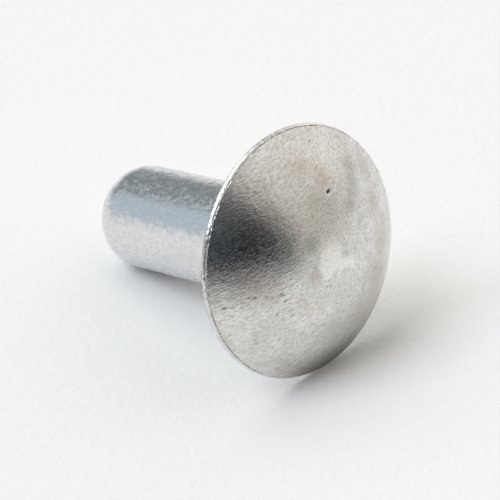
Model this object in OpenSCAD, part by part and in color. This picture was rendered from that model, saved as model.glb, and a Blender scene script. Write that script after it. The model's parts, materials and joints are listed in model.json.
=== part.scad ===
// Brazier head rivet: a solid rivet with a wide, low domed head, headed cold from one length of
// aluminium wire. It lies on its side, as it comes to rest on a flat surface: the rim of the head
// and the rounded end of the shank both touch z = 0, and the head is towards +X.

/* [Head] */
// Diameter across the rim of the head
head_d = 15.2; // [13:0.1:18]
// Height of the head, from the bearing face to the top of the dome
head_h = 3.2; // [2.4:0.1:4.2]
// Height of the narrow upright land round the rim, below the dome
rim_land = 0.2; // [0.15:0.05:0.6]
// Radius of the broken edge between the bearing face and the rim
rim_edge_r = 0.06; // [0.02:0.01:0.14]

/* [Shank] */
// Diameter of the shank
shank_d = 6.35; // [5.5:0.05:7.5]
// Length of the shank, from the bearing face to its free end
shank_len = 15.45; // [10:0.05:40]
// Radius of the rounding at the free end of the shank
end_r = 2.3; // [0.3:0.1:2.7]
// Radius of the fillet where the shank meets the bearing face
fillet_r = 0.4; // [0.1:0.05:1]

/* [Hidden] */
$fn = 96;
raw_aluminium = [0.78, 0.78, 0.77];

head_r = head_d / 2;
shank_r = shank_d / 2;

// The dome is part of one sphere, from the top of the rim land up to the crown. Its radius and
// its centre, a height on the rivet's axis above the bearing face, follow from the head's sizes.
dome_rise = head_h - rim_land;
dome_r = (head_r ^ 2 + dome_rise ^ 2) / (2 * dome_rise);
dome_mid = head_h - dome_r;

// Centres of the two roundings that the rivet lies on, as distance from the axis and height.
rim_edge = [head_r - rim_edge_r, rim_edge_r];
end_edge = [shank_r - end_r, end_r - shank_len];

// The floor is the line that touches both roundings, so their sizes and places give the angle
// at which the axis rises towards the head, and the height of the bearing face's centre.
edge_step = rim_edge - end_edge;
lie_angle = atan2(edge_step[0], edge_step[1]) - asin((end_r - rim_edge_r) / norm(edge_step));
face_z = rim_edge[0] * cos(lie_angle) - rim_edge[1] * sin(lie_angle) + rim_edge_r;

// How far the head and the shank reach along X from the centre of the bearing face. The origin
// is then midway between them.
dome_edge_angle = asin(head_r / dome_r);
head_reach = dome_mid * cos(lie_angle) + dome_r * cos(lie_angle - min(lie_angle, dome_edge_angle));
end_reach = end_r - end_edge[1] * cos(lie_angle) + end_edge[0] * sin(lie_angle);
face_x = (end_reach - head_reach) / 2;

// Half section of the head: the dome over the upright rim land, with the edge at the bearing
// face broken.
module head_section() {
    difference() {
        intersection() {
            square([head_r, dome_r]);
            translate([0, dome_mid]) circle(dome_r);
        }
        translate(rim_edge) difference() {
            translate([0, -rim_edge_r]) square(rim_edge_r);
            circle(rim_edge_r);
        }
    }
}

// Half section of the shank: straight from the bearing face, with a rounded free end.
module shank_section() {
    translate([0, -shank_len]) square([end_edge[0], shank_len]);
    translate([0, end_edge[1]]) square([shank_r, -end_edge[1]]);
    translate(end_edge) circle(end_r);
}

// The fillet under the head, where the metal flows from the shank into the bearing face.
module fillet_section() {
    translate([shank_r, -fillet_r]) difference() {
        square(fillet_r);
        translate([fillet_r, 0]) circle(fillet_r);
    }
}

// The rivet upright, turned from its half section, with the bearing face at z = 0.
module upright_rivet() {
    rotate_extrude() {
        head_section();
        intersection() {
            shank_section();
            translate([0, -shank_len]) square([shank_r, shank_len]);
        }
        fillet_section();
    }
}

// The rivet as it lies, its axis leaning from upright over to +X.
module rivet() {
    color(raw_aluminium)
        translate([face_x, 0, face_z])
            rotate([0, 90 - lie_angle, 0]) upright_rivet();
}

rivet();
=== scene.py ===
import json
import math

import bpy
import numpy as np
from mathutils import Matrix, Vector, noise


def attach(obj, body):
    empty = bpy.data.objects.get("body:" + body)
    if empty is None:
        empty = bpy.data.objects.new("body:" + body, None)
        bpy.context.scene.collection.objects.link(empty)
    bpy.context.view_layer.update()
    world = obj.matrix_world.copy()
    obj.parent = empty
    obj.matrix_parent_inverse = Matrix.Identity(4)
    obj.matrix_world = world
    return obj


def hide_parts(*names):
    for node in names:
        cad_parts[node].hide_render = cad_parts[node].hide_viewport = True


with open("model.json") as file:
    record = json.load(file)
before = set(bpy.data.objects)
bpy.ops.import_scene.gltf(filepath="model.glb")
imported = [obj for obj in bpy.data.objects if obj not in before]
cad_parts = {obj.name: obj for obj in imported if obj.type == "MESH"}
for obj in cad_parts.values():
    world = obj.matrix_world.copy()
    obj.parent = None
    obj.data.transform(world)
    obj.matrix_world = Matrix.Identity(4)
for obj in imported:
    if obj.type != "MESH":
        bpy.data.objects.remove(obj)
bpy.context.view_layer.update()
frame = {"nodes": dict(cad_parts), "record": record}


# Camera. It looks down on the dome from in front and from one side, through a long lens from
# about 20 cm away, so that the head hides the bearing face and half of the shank.

# Sizes are in mm and Blender counts in metres.
MM = 0.001

camera_place = Vector((109.54, -109.77, 123.25)) * MM
camera_aim = Vector((3.723, -1.900, 7.250)) * MM

camera_data = bpy.data.cameras.new("camera")
camera_data.lens = 233.8
camera_data.sensor_width = 36
camera_data.clip_start = 0.01
camera_data.clip_end = 10
camera = bpy.data.objects.new("camera", camera_data)
camera.location = camera_place
camera.rotation_mode = "QUATERNION"
camera.rotation_quaternion = (camera_aim - camera_place).to_track_quat("-Z", "Y")
bpy.context.scene.collection.objects.link(camera)
bpy.context.scene.camera = camera


# The rivet: one length of drawn aluminium wire, its end upset cold between a flat bolster and a
# cupped die into a wide, low dome. The shank keeps the skin of the wire, and the dome the print
# of the die.

mounts = {m["name"]: m for m in frame["record"]["mounts"]}
towards_head = -Vector(mounts["shank"]["axis"])
sideways = Vector((0, 1, 0))
towards_floor = sideways.cross(towards_head)

# The axis passes through the shank mount's middle, and the face mount lies on the bearing face.
shank_middle = Vector(mounts["shank"]["pos_m"])
face_point = Vector(mounts["bearing_face"]["pos_m"])
face_centre = shank_middle + towards_head * (face_point - shank_middle).dot(towards_head)

cad_points = [v.co - face_centre for v in frame["nodes"]["rivet"].data.vertices]
heights = [p.dot(towards_head) / MM for p in cad_points]
head_h = max(heights)
shank_len = -min(heights)
head_r = max(p.y for p in cad_points) / MM
shank_r = mounts["shank"]["dims"]["r_mm"]
straight_len = mounts["shank"]["dims"]["length_mm"]
fillet_r = (face_centre - shank_middle).length / MM - straight_len / 2
end_r = shank_len - straight_len - fillet_r
rim_land = 0.2
rim_edge_r = 0.06
rim_corner_r = 0.32

# The dome is part of a sphere that would meet the rim's land at a corner, which is rounded.
dome_rise = head_h - rim_land
dome_r = (head_r ** 2 + dome_rise ** 2) / (2 * dome_rise)
dome_mid = head_h - dome_r
corner_mid_r = head_r - rim_corner_r
corner_mid_h = dome_mid + math.sqrt((dome_r - rim_corner_r) ** 2 - corner_mid_r ** 2)
dome_edge_angle = math.asin(corner_mid_r / (dome_r - rim_corner_r))

# Places across the head are in mm from the axis: first towards the floor, then sideways. The
# metal flowed over the die mostly sideways, and its streaks and dents lie along that flow.
FLOW_ANGLE = math.radians(12)
FLOW = Vector((-math.sin(FLOW_ANGLE), math.cos(FLOW_ANGLE)))

# A deep pit full of dirt and a nick at the rim: places, radii and depths.
PITS = [(-3.71, 1.29, 0.17, 0.16), (-6.95, 3.08, 0.24, 0.05)]
# Short dents dragged along the flow: places and half lengths.
DENTS = [
    (0.40, -3.93, 0.25),
    (0.55, -3.80, 0.21),
    (0.93, -3.75, 0.19),
    (1.61, -4.35, 0.18),
    (2.10, -3.43, 0.15),
    (3.30, -4.31, 0.13),
    (0.05, -5.34, 0.15),
    (-0.10, -5.62, 0.12),
    (0.13, -6.87, 0.17),
    (1.31, -0.98, 0.12),
    (-1.97, -3.19, 0.12),
    (-6.36, 2.09, 0.14),
    (-6.01, 2.08, 0.12),
]
DENT_WIDTH = 0.16
DENT_DEPTH = 0.015
# Fainter dents lie all over, where fine noise rises past a level. They are whole a step above it,
# at a share of the full depth.
FAINT_DENT_FROM = 0.42
FAINT_DENT_STEP = 0.2
FAINT_DENT_SHARE = 0.3
# A mark near the crown where a worn patch of the die stood proud, raised a little and painted lighter as
# painted sheen: its corners in turn.
DIE_MARK = [(-1.2, 0.5), (-1.3, -0.65), (-0.95, -1.0), (0.15, -1.45), (0.95, -0.85), (0.7, -0.1),
            (1.0, 0.15), (0.9, 0.75), (1.3, 1.5), (0.45, 1.6), (0.05, 0.65), (-0.4, 0.8)]
DIE_MARK_REACH = 2
# A grey smear with a small one beside the crown, and warm stains: places and radii.
SMEAR = [(-3.9, 4.0, 1.0), (-3.3, 3.5, 1.1), (-2.8, 3.0, 0.9), (-2.3, 2.5, 0.8), (-1.5, -1.25, 0.8)]
STAINS = [(-5.7, 0.4, 1.1), (-4.6, 1.4, 1.0), (-1.2, 4.8, 1.3), (0.25, -4.5, 1.1), (0.3, -1.6, 0.7),
          (-0.4, -5.5, 1.4), (1.0, 5.0, 1.8), (3.0, 4.0, 1.6), (-3.2, 5.4, 1.2)]
# The painted shade on the low edge of the dome, a dark grey that stands in for the mirrored shadow under
# the head: its width, and its middle and half spread round the rim, in degrees from the floor.
PAINTED_EDGE_SHADE_WIDTH = 1.8
PAINTED_EDGE_SHADE_MIDDLE, PAINTED_EDGE_SHADE_SPREAD = 12, 40


def flow_place(x, y):
    """A place or step on the dome as its parts across the flow and along it."""
    return x * FLOW.y - y * FLOW.x, x * FLOW.x + y * FLOW.y


def wave(place, across, along, seed):
    """Smooth noise from -1 to 1, with waves of one length across the flow and one along it."""
    x, y = flow_place(place[0], place[1])
    return noise.noise(Vector((x / across, y / along, place[2] / along + seed)))


def in_die_mark(place):
    """How far a place lies inside the die mark, from 0 at its edge to 1 from 0.25 mm in."""
    x = place[0] + 0.2 * wave(place, 0.3, 0.3, 41)
    y = place[1] + 0.2 * wave(place, 0.3, 0.3, 43)
    inside = False
    gap = 1.0
    for i, (x1, y1) in enumerate(DIE_MARK):
        x2, y2 = DIE_MARK[i - 1]
        if (y1 > y) != (y2 > y) and x < x1 + (y - y1) * (x2 - x1) / (y2 - y1):
            inside = not inside
        share = ((x - x1) * (x2 - x1) + (y - y1) * (y2 - y1)) / ((x2 - x1) ** 2 + (y2 - y1) ** 2)
        share = min(1.0, max(0.0, share))
        gap = min(gap, math.hypot(x - x1 - share * (x2 - x1), y - y1 - share * (y2 - y1)))
    return min(1.0, gap / 0.25) if inside else 0.0


def near(place, spots):
    """1 at the middle of any of a list of round spots, falling softly to 0 at their radii."""
    most = 0.0
    for x, y, radius in spots:
        gap = math.hypot(place[0] - x, place[1] - y) / radius
        if gap < 1:
            most = max(most, (1 - gap * gap) ** 2)
    return most


def painted_edge_shade(place):
    """Painted shade on the low edge of the dome, standing in for the mirrored shadow under the head: 1
    at the rim and falling to 0 inwards.
    """
    inwards = (head_r - math.hypot(place[0], place[1])) / PAINTED_EDGE_SHADE_WIDTH
    round_rim = (math.degrees(math.atan2(place[1], place[0])) - PAINTED_EDGE_SHADE_MIDDLE) / PAINTED_EDGE_SHADE_SPREAD
    return max(0.0, 1 - inwards) * max(0.0, 1 - round_rim ** 2)


def dent(place):
    """1 at the middle of a dent dragged along the flow, falling to 0 at its edge."""
    faint = (wave(place, DENT_WIDTH, 0.42, 31) - FAINT_DENT_FROM) / FAINT_DENT_STEP
    most = min(1.0, max(0.0, faint)) * FAINT_DENT_SHARE
    for x, y, half_length in DENTS:
        if abs(place[0] - x) < half_length and abs(place[1] - y) < half_length:
            across, along = flow_place(place[0] - x, place[1] - y)
            gap = math.hypot(across / (DENT_WIDTH / 2), along / half_length)
            most = max(most, 1 - gap * gap)
    return most


def dome_height(place):
    """How far the pressed dome stands proud of a true sphere at a place, in mm.

    Each wave has its height and its lengths across and along the flow in mm, and its own seed.
    """
    height = 0.016 * wave(place, 2.6, 2.6, 3)
    height += 0.005 * wave(place, 0.7, 0.9, 11)
    height += 0.004 * wave(place, 0.19, 0.5, 23)
    height -= DENT_DEPTH * dent(place)
    for x, y, radius, depth in PITS:
        gap = math.hypot(place[0] - x, place[1] - y) / radius
        if gap < 1:
            height -= depth * (1 - gap * gap) ** 2
    if math.hypot(place[0], place[1]) < DIE_MARK_REACH:
        height += 0.008 * in_die_mark(place)
    return height


def rim_height(place):
    """Small nicks and high spots along the rim."""
    return 0.016 * wave(place, 0.5, 0.5, 61) + 0.014 * wave(place, 0.2, 0.2, 67)


def shank_height(place):
    """The orange-peel skin of the drawn wire."""
    height = 0.010 * wave(place, 1.6, 1.6, 71)
    height += 0.008 * wave(place, 0.55, 0.55, 73)
    height += 0.003 * wave(place, 0.3, 0.3, 79)
    return height


points = []
normals = []
lifts = []
faces = []
face_kinds = []


def add_ring(radius, height, count, slope, lift):
    """Adds one ring of points at a radius and height, and returns their numbers."""
    first = len(points)
    for i in range(count):
        turn = 2 * math.pi * i / count
        outward = (math.cos(turn), math.sin(turn))
        place = (radius * outward[0], radius * outward[1], height)
        points.append(place)
        normals.append((outward[0] * math.cos(slope), outward[1] * math.cos(slope), math.sin(slope)))
        lifts.append(lift(place))
    return list(range(first, first + count))


def join_rings(outer, inner, kind):
    """Joins two rings of the same count, or an outer one to an inner one of half its count."""
    step = len(outer) // len(inner)
    for i in range(len(inner)):
        j = (i + 1) % len(inner)
        if step == 1:
            faces.append((outer[i], outer[j], inner[j], inner[i]))
            face_kinds.append(kind)
        else:
            middle = outer[2 * i + 1]
            faces.append((outer[2 * i], middle, inner[i]))
            faces.append((middle, outer[(2 * i + 2) % len(outer)], inner[j], inner[i]))
            face_kinds.extend((kind, kind))


# The dome is rings that each have 8 points more than the last, joined as a square grid.
DOME_RINGS = 100
PRESSED, DRAWN = 0, 1

crown = add_ring(0, head_h, 1, math.pi / 2, dome_height)
ring = crown
for k in range(1, DOME_RINGS + 1):
    angle = dome_edge_angle * k / DOME_RINGS
    outer = add_ring(dome_r * math.sin(angle), dome_mid + dome_r * math.cos(angle), 8 * k,
                     math.pi / 2 - angle, dome_height)
    for side in range(8):
        for i in range(k):
            a = outer[side * k + i]
            b = outer[(side * k + i + 1) % (8 * k)]
            c = ring[(side * (k - 1) + min(i, k - 1)) % len(ring)]
            d = ring[(side * (k - 1) + i + 1) % len(ring)] if i < k - 1 else None
            if d is None:
                faces.append((a, b, c))
            else:
                faces.append((a, b, d, c))
            face_kinds.append(PRESSED)
    ring = outer

# The rim: the rounded corner, the narrow land, and the broken edge at the bearing face. The die
# only reaches the first steps of the corner, and from there on the metal keeps the wire's skin.
CORNER_STEPS = 6
PRESSED_STEPS = 2
count = len(ring)
rim_profile = []
for k in range(1, CORNER_STEPS + 1):
    slope = (math.pi / 2 - dome_edge_angle) * (1 - k / CORNER_STEPS)
    rim_profile.append((corner_mid_r + rim_corner_r * math.cos(slope),
                        corner_mid_h + rim_corner_r * math.sin(slope), slope))
# The broken edge passes through its 45-degree point, 0.29 of its radius in from both sides.
edge_inset = 0.29 * rim_edge_r
rim_profile.append((head_r, rim_edge_r, 0.0))
rim_profile.append((head_r - edge_inset, edge_inset, -0.8))
rim_profile.append((head_r - rim_edge_r, 0.0, -1.3))
for k, (radius, height, slope) in enumerate(rim_profile):
    outer = add_ring(radius, height, count, slope, rim_height)
    join_rings(ring, outer, PRESSED if k < PRESSED_STEPS else DRAWN)
    ring = outer

# The bearing face, the fillet, the shank and its rounded end: a row of radii, heights, slopes and
# counts of points. The face's first ring lies in from the rim, and small rings have fewer points.
FACE_EDGE = 0.35
FACE_STEP = 0.15
SHANK_STEP = 0.1
FILLET_STEPS = 6
END_STEPS = 30
below = []
for k, radius in enumerate(np.arange(head_r - FACE_EDGE, shank_r + fillet_r, -FACE_STEP)):
    below.append((radius, 0.0, -math.pi / 2, count // 2 if k == 0 else count // 4))
for k in range(FILLET_STEPS + 1):
    turn = math.pi / 2 * k / FILLET_STEPS
    below.append((shank_r + fillet_r * (1 - math.sin(turn)), -fillet_r * (1 - math.cos(turn)),
                  turn - math.pi / 2, count // 4))
for height in np.arange(-fillet_r - SHANK_STEP, end_r - shank_len, -SHANK_STEP):
    below.append((shank_r, height, 0.0, count // 4))
for k in range(END_STEPS):
    turn = math.pi / 2 * k / (END_STEPS - 1)
    radius = shank_r - end_r * (1 - math.cos(turn))
    below.append((radius, end_r - shank_len - end_r * math.sin(turn), -turn,
                  count // 4 if radius > shank_r / 2 else count // 8))
for share in (0.7, 0.4):
    below.append(((shank_r - end_r) * share, -shank_len, -math.pi / 2, count // 16))
for radius, height, slope, ring_count in below:
    inner = add_ring(radius, height, ring_count, slope, shank_height)
    join_rings(ring, inner, DRAWN)
    ring = inner
middle = add_ring(0, -shank_len, 1, -math.pi / 2, shank_height)[0]
for i in range(len(ring)):
    faces.append((ring[i], ring[(i + 1) % len(ring)], middle))
    face_kinds.append(DRAWN)

upright = np.array(points)
lifted = upright + np.array(normals) * np.array(lifts)[:, None]
axes = np.array([towards_floor, sideways, towards_head])
placed = np.array(face_centre) + lifted @ axes * MM

rivet_mesh = bpy.data.meshes.new("aluminium_rivet")
rivet_mesh.from_pydata([tuple(p) for p in placed], [], faces)
rivet_mesh.polygons.foreach_set("material_index", face_kinds)
rivet_mesh.polygons.foreach_set("use_smooth", [True] * len(faces))
upright_mm = rivet_mesh.attributes.new("upright_mm", "FLOAT_VECTOR", "POINT")
upright_mm.data.foreach_set("vector", upright.astype(np.float32).ravel())
# Where the dome is dirty or darkened as painted shade in its dents, smeared, stained, painted lighter as
# sheen on the die mark, or greyed as painted shade on its low edge, for its material. Each layer is
# filled before the next one is made, as making one moves the others.
DOME_FROM = 0.05
on_dome = [p[2] > DOME_FROM for p in points]
marks = rivet_mesh.attributes.new("marks", "FLOAT_VECTOR", "POINT")
for item, point, on in zip(marks.data, points, on_dome):
    if on:
        # Dirt fills the deep pit, and the dents are darkened with dirt and painted shade.
        dirt_and_dent_shade = min(1.0, 1.6 * near(point, [PITS[0][:3]]) + 0.55 * dent(point))
        item.vector = (dirt_and_dent_shade, near(point, SMEAR), near(point, STAINS))
# Painted sheen: the die mark's layer, which lightens its colour.
painted_sheen_of_die_mark = rivet_mesh.attributes.new("painted_sheen_of_die_mark", "FLOAT", "POINT")
for item, point, on in zip(painted_sheen_of_die_mark.data, points, on_dome):
    if on and math.hypot(point[0], point[1]) < DIE_MARK_REACH:
        item.value = in_die_mark(point)
# Painted shade: a layer that darkens the low edge of the dome, in place of the mirrored shadow under the
# head.
painted_edge_shade_layer = rivet_mesh.attributes.new("painted_edge_shade_layer", "FLOAT", "POINT")
for item, point, on in zip(painted_edge_shade_layer.data, points, on_dome):
    if on:
        item.value = painted_edge_shade(point)
rivet_mesh.update()
rivet = bpy.data.objects.new("rivet_in_raw_aluminium", rivet_mesh)
bpy.context.scene.collection.objects.link(rivet)


def linear(colour):
    """An sRGB hex colour as the linear values that Blender's sockets take."""
    shares = [int(colour[i:i + 2], 16) / 255 for i in (1, 3, 5)]
    return [s / 12.92 if s <= 0.04045 else ((s + 0.055) / 1.055) ** 2.4 for s in shares] + [1.0]


def add_node(tree, kind, inputs=None, **settings):
    """Adds one node with its settings. An input is a value or the socket that feeds it."""
    node = tree.nodes.new(kind)
    for name, value in settings.items():
        setattr(node, name, value)
    for name, value in (inputs or {}).items():
        if isinstance(value, bpy.types.NodeSocket):
            tree.links.new(value, node.inputs[name])
        else:
            node.inputs[name].default_value = value
    return node


def new_material(name):
    """A material with an empty node tree and its output node."""
    material = bpy.data.materials.new(name)
    material.use_nodes = True
    material.node_tree.nodes.clear()
    return material, material.node_tree


# Aluminium 1100 pressed cold by a polished die: a satin dome, streaked one way where the metal
# dragged over the die. The eye sees soft reflections broken by fine dashes.
pressed, tree = new_material("cold_pressed_aluminium")
place = add_node(tree, "ShaderNodeAttribute", attribute_name="upright_mm").outputs["Vector"]
marked = add_node(tree, "ShaderNodeAttribute", attribute_name="marks").outputs["Vector"]
mark = add_node(tree, "ShaderNodeSeparateXYZ", {"Vector": marked})
die_mark_sheen_fac = add_node(tree, "ShaderNodeAttribute", attribute_name="painted_sheen_of_die_mark").outputs["Fac"]

# Streaks are about 0.08 mm wide and 0.25 mm long.
streak_place = add_node(tree, "ShaderNodeMapping", {
    "Vector": place, "Rotation": (0, 0, FLOW_ANGLE), "Scale": (0.075, 0.27, 1)}, vector_type="TEXTURE")
streaks = add_node(tree, "ShaderNodeTexNoise", {
    "Vector": streak_place.outputs["Vector"], "Scale": 1.0, "Detail": 3.0, "Roughness": 0.6})
bump = add_node(tree, "ShaderNodeBump", {
    "Height": streaks.outputs["Fac"], "Strength": 1.0, "Distance": 0.018 * MM})

# Grey-warm clouds a few millimetres across, and the stains and the smear over them.
clouds = add_node(tree, "ShaderNodeTexNoise", {
    "Vector": place, "Scale": 0.6, "Detail": 4.0, "Roughness": 0.6})
cloudy = add_node(tree, "ShaderNodeMapRange", {
    "Value": clouds.outputs["Fac"], "From Min": 0.35, "From Max": 0.65})
base = add_node(tree, "ShaderNodeMix", {
    0: cloudy.outputs["Result"], 6: linear("#DCD8D3"), 7: linear("#EDECE9")}, data_type="RGBA")
stain_share = add_node(tree, "ShaderNodeMath", {0: mark.outputs["Z"], 1: 0.5}, operation="MULTIPLY")
stained = add_node(tree, "ShaderNodeMix", {
    0: stain_share.outputs[0], 6: base.outputs[2], 7: linear("#BFAFA3")}, data_type="RGBA")
smear_share = add_node(tree, "ShaderNodeMath", {0: mark.outputs["Y"], 1: 0.65}, operation="MULTIPLY")
smeared = add_node(tree, "ShaderNodeMix", {
    0: smear_share.outputs[0], 6: stained.outputs[2], 7: linear("#A5A7A4")}, data_type="RGBA")

# The hollows between the streaks are darkened, with a little dirt and with painted shade in them, and
# the deep pit is full of dirt.
hollow_dirt_and_shade = add_node(tree, "ShaderNodeMapRange", {
    "Value": streaks.outputs["Fac"], "From Min": 0.60, "From Max": 0.36, "To Min": 0.0, "To Max": 0.52})
hollow_dirt_and_shaded = add_node(tree, "ShaderNodeMix", {
    0: hollow_dirt_and_shade.outputs["Result"], 6: smeared.outputs[2], 7: linear("#A29F9A")}, data_type="RGBA")
# Painted sheen: the die mark is painted lighter, as well as raised a little in the shape.
die_mark_sheen_share = add_node(tree, "ShaderNodeMath", {0: die_mark_sheen_fac, 1: 0.7}, operation="MULTIPLY")
worn_mark_with_painted_sheen = add_node(tree, "ShaderNodeMix", {
    0: die_mark_sheen_share.outputs[0], 6: hollow_dirt_and_shaded.outputs[2], 7: linear("#F4F2EE")}, data_type="RGBA")
# Painted shade: the low edge of the dome is greyed towards the rim, in place of the mirrored shadow
# under the head.
painted_edge_shade_share = add_node(tree, "ShaderNodeMath", {
    0: add_node(tree, "ShaderNodeAttribute", attribute_name="painted_edge_shade_layer").outputs["Fac"], 1: 0.92},
    operation="MULTIPLY")
painted_edge_shaded = add_node(tree, "ShaderNodeMix", {
    0: painted_edge_shade_share.outputs[0], 6: worn_mark_with_painted_sheen.outputs[2], 7: linear("#413F3C")}, data_type="RGBA")
# The deep pit is darkened with dirt, and the dents with dirt and painted shade.
dirt_and_dent_shaded = add_node(tree, "ShaderNodeMix", {
    0: mark.outputs["X"], 6: painted_edge_shaded.outputs[2], 7: linear("#1A1816")}, data_type="RGBA")
gloss = add_node(tree, "ShaderNodeMapRange", {
    "Value": streaks.outputs["Fac"], "From Min": 0.3, "From Max": 0.7, "To Min": 0.32, "To Max": 0.14})
metal = add_node(tree, "ShaderNodeBsdfPrincipled", {
    "Base Color": dirt_and_dent_shaded.outputs[2], "Metallic": 1.0, "Roughness": gloss.outputs["Result"],
    "Normal": bump.outputs["Normal"]})
add_node(tree, "ShaderNodeOutputMaterial", {"Surface": metal.outputs["BSDF"]})

# The same aluminium as drawn wire: brighter and smoother, with the pebbled skin that cold work
# leaves. The eye sees sharper reflections, broken into cloudy spots.
drawn, tree = new_material("drawn_aluminium_wire")
place = add_node(tree, "ShaderNodeAttribute", attribute_name="upright_mm").outputs["Vector"]
pebble_place = add_node(tree, "ShaderNodeMapping", {
    "Vector": place, "Scale": (0.25, 0.25, 0.36)}, vector_type="TEXTURE")
pebbles = add_node(tree, "ShaderNodeTexNoise", {
    "Vector": pebble_place.outputs["Vector"], "Scale": 1.0, "Detail": 2.0, "Roughness": 0.5})
gloss = add_node(tree, "ShaderNodeMapRange", {
    "Value": pebbles.outputs["Fac"], "From Min": 0.36, "From Max": 0.64, "To Min": 0.36, "To Max": 0.17})
mottle = add_node(tree, "ShaderNodeMapRange", {
    "Value": pebbles.outputs["Fac"], "From Min": 0.36, "From Max": 0.62})
skin = add_node(tree, "ShaderNodeMix", {
    0: mottle.outputs["Result"], 6: linear("#DBDBDB"), 7: linear("#E3E3E3")}, data_type="RGBA")
bump = add_node(tree, "ShaderNodeBump", {
    "Height": pebbles.outputs["Fac"], "Strength": 1.0, "Distance": 0.028 * MM})
metal = add_node(tree, "ShaderNodeBsdfPrincipled", {
    "Base Color": skin.outputs[2], "Metallic": 1.0, "Roughness": gloss.outputs["Result"],
    "Normal": bump.outputs["Normal"]})
add_node(tree, "ShaderNodeOutputMaterial", {"Surface": metal.outputs["BSDF"]})

rivet_mesh.materials.append(pressed)
rivet_mesh.materials.append(drawn)
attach(rivet, "root")
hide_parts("rivet")


# The studio: a wide sheet of matt white paper under the rivet, lit by a large cool window and two
# warm ones. The metal also mirrors the walls of the room round it.

# Uncoated white paper: a dull, even surface. Its grain is 0.5 mm wide, coarser than real fibres,
# so that it shows.
PAPER_GRAIN = 0.5
paper, tree = new_material("matt_white_paper")
place = add_node(tree, "ShaderNodeTexCoord").outputs["Object"]
grain = add_node(tree, "ShaderNodeTexNoise", {
    "Vector": place, "Scale": 1 / (PAPER_GRAIN * MM), "Detail": 3.0, "Roughness": 0.5})
bump = add_node(tree, "ShaderNodeBump", {
    "Height": grain.outputs["Fac"], "Strength": 1.0, "Distance": 0.07 * MM})
surface = add_node(tree, "ShaderNodeBsdfPrincipled", {
    "Base Color": linear("#F4F3F0"), "Roughness": 0.9, "Specular IOR Level": 0.2,
    "Normal": bump.outputs["Normal"]})
add_node(tree, "ShaderNodeOutputMaterial", {"Surface": surface.outputs["BSDF"]})

half = 1500 * MM
corners = [(-half, -half, 0), (half, -half, 0), (half, half, 0), (-half, half, 0)]
floor_mesh = bpy.data.meshes.new("paper_floor")
floor_mesh.from_pydata(corners, [], [(0, 1, 2, 3)])
floor_mesh.materials.append(paper)
floor = bpy.data.objects.new("paper_floor", floor_mesh)
bpy.context.scene.collection.objects.link(floor)


def towards(azimuth, elevation):
    """A direction from its bearing, counted from +X towards +Y, and its height, in degrees."""
    a, e = math.radians(azimuth), math.radians(elevation)
    return Vector((math.cos(a) * math.cos(e), math.sin(a) * math.cos(e), math.sin(e)))


def add_lamp(name, azimuth, elevation, width, strength, colour):
    """A far, round, soft lamp: its direction and width in degrees, its strength in W/m2."""
    data = bpy.data.lights.new(name, "SUN")
    data.angle = math.radians(width)
    data.energy = strength
    data.color = linear(colour)[:3]
    lamp = bpy.data.objects.new(name, data)
    lamp.rotation_mode = "QUATERNION"
    lamp.rotation_quaternion = towards(azimuth, elevation).to_track_quat("Z", "Y")
    bpy.context.scene.collection.objects.link(lamp)


add_lamp("cool_window", -111, 52, 33, 1.59, "#EAF2FF")
add_lamp("high_warm_window", 180, 58, 42, 0.65, "#FFFAF2")
add_lamp("low_warm_window", 118, 27, 42, 0.25, "#FFF1DF")

# The room, in soft-edged walls: warm and bright on the right and overhead with a greyer patch, a
# dim blue-grey one behind, a lighter one on the left, and a dark one on the camera's side with
# greyer edges above it and to its left. Later walls cover earlier ones.
world = bpy.data.worlds.new("studio")
world.use_nodes = True
tree = world.node_tree
tree.nodes.clear()
way = add_node(tree, "ShaderNodeTexCoord").outputs["Generated"]
room = add_node(tree, "ShaderNodeRGB")
room.outputs[0].default_value = linear("#DFDBD5")
room_colour = room.outputs[0]
WALLS = [
    (82, 33, 0.62, 0.95, "#F7F5F1"),
    (38, 6, 0.89, 0.98, "#C3BEB5"),
    (158, 30, 0.60, 0.90, "#858F93"),
    (-148, 10, 0.85, 0.95, "#BCCAD4"),
    (-35, 3, 0.51, 0.74, "#1A2026"),
    (-38, 56, 0.93, 0.99, "#646A70"),
    (-80, 35, 0.72, 1.0, "#565F68"),
]
for azimuth, elevation, outside, inside, colour in WALLS:
    facing = add_node(tree, "ShaderNodeVectorMath", {0: way, 1: towards(azimuth, elevation)},
                      operation="DOT_PRODUCT")
    share = add_node(tree, "ShaderNodeMapRange", {
        "Value": facing.outputs["Value"], "From Min": outside, "From Max": inside},
        interpolation_type="SMOOTHSTEP")
    wall = add_node(tree, "ShaderNodeMix", {
        0: share.outputs["Result"], 6: room_colour, 7: linear(colour)}, data_type="RGBA")
    room_colour = wall.outputs[2]
sky = add_node(tree, "ShaderNodeBackground", {"Color": room_colour, "Strength": 1.0})
add_node(tree, "ShaderNodeOutputWorld", {"Surface": sky.outputs["Background"]})
bpy.context.scene.world = world
bpy.context.scene.view_settings.view_transform = "Standard"
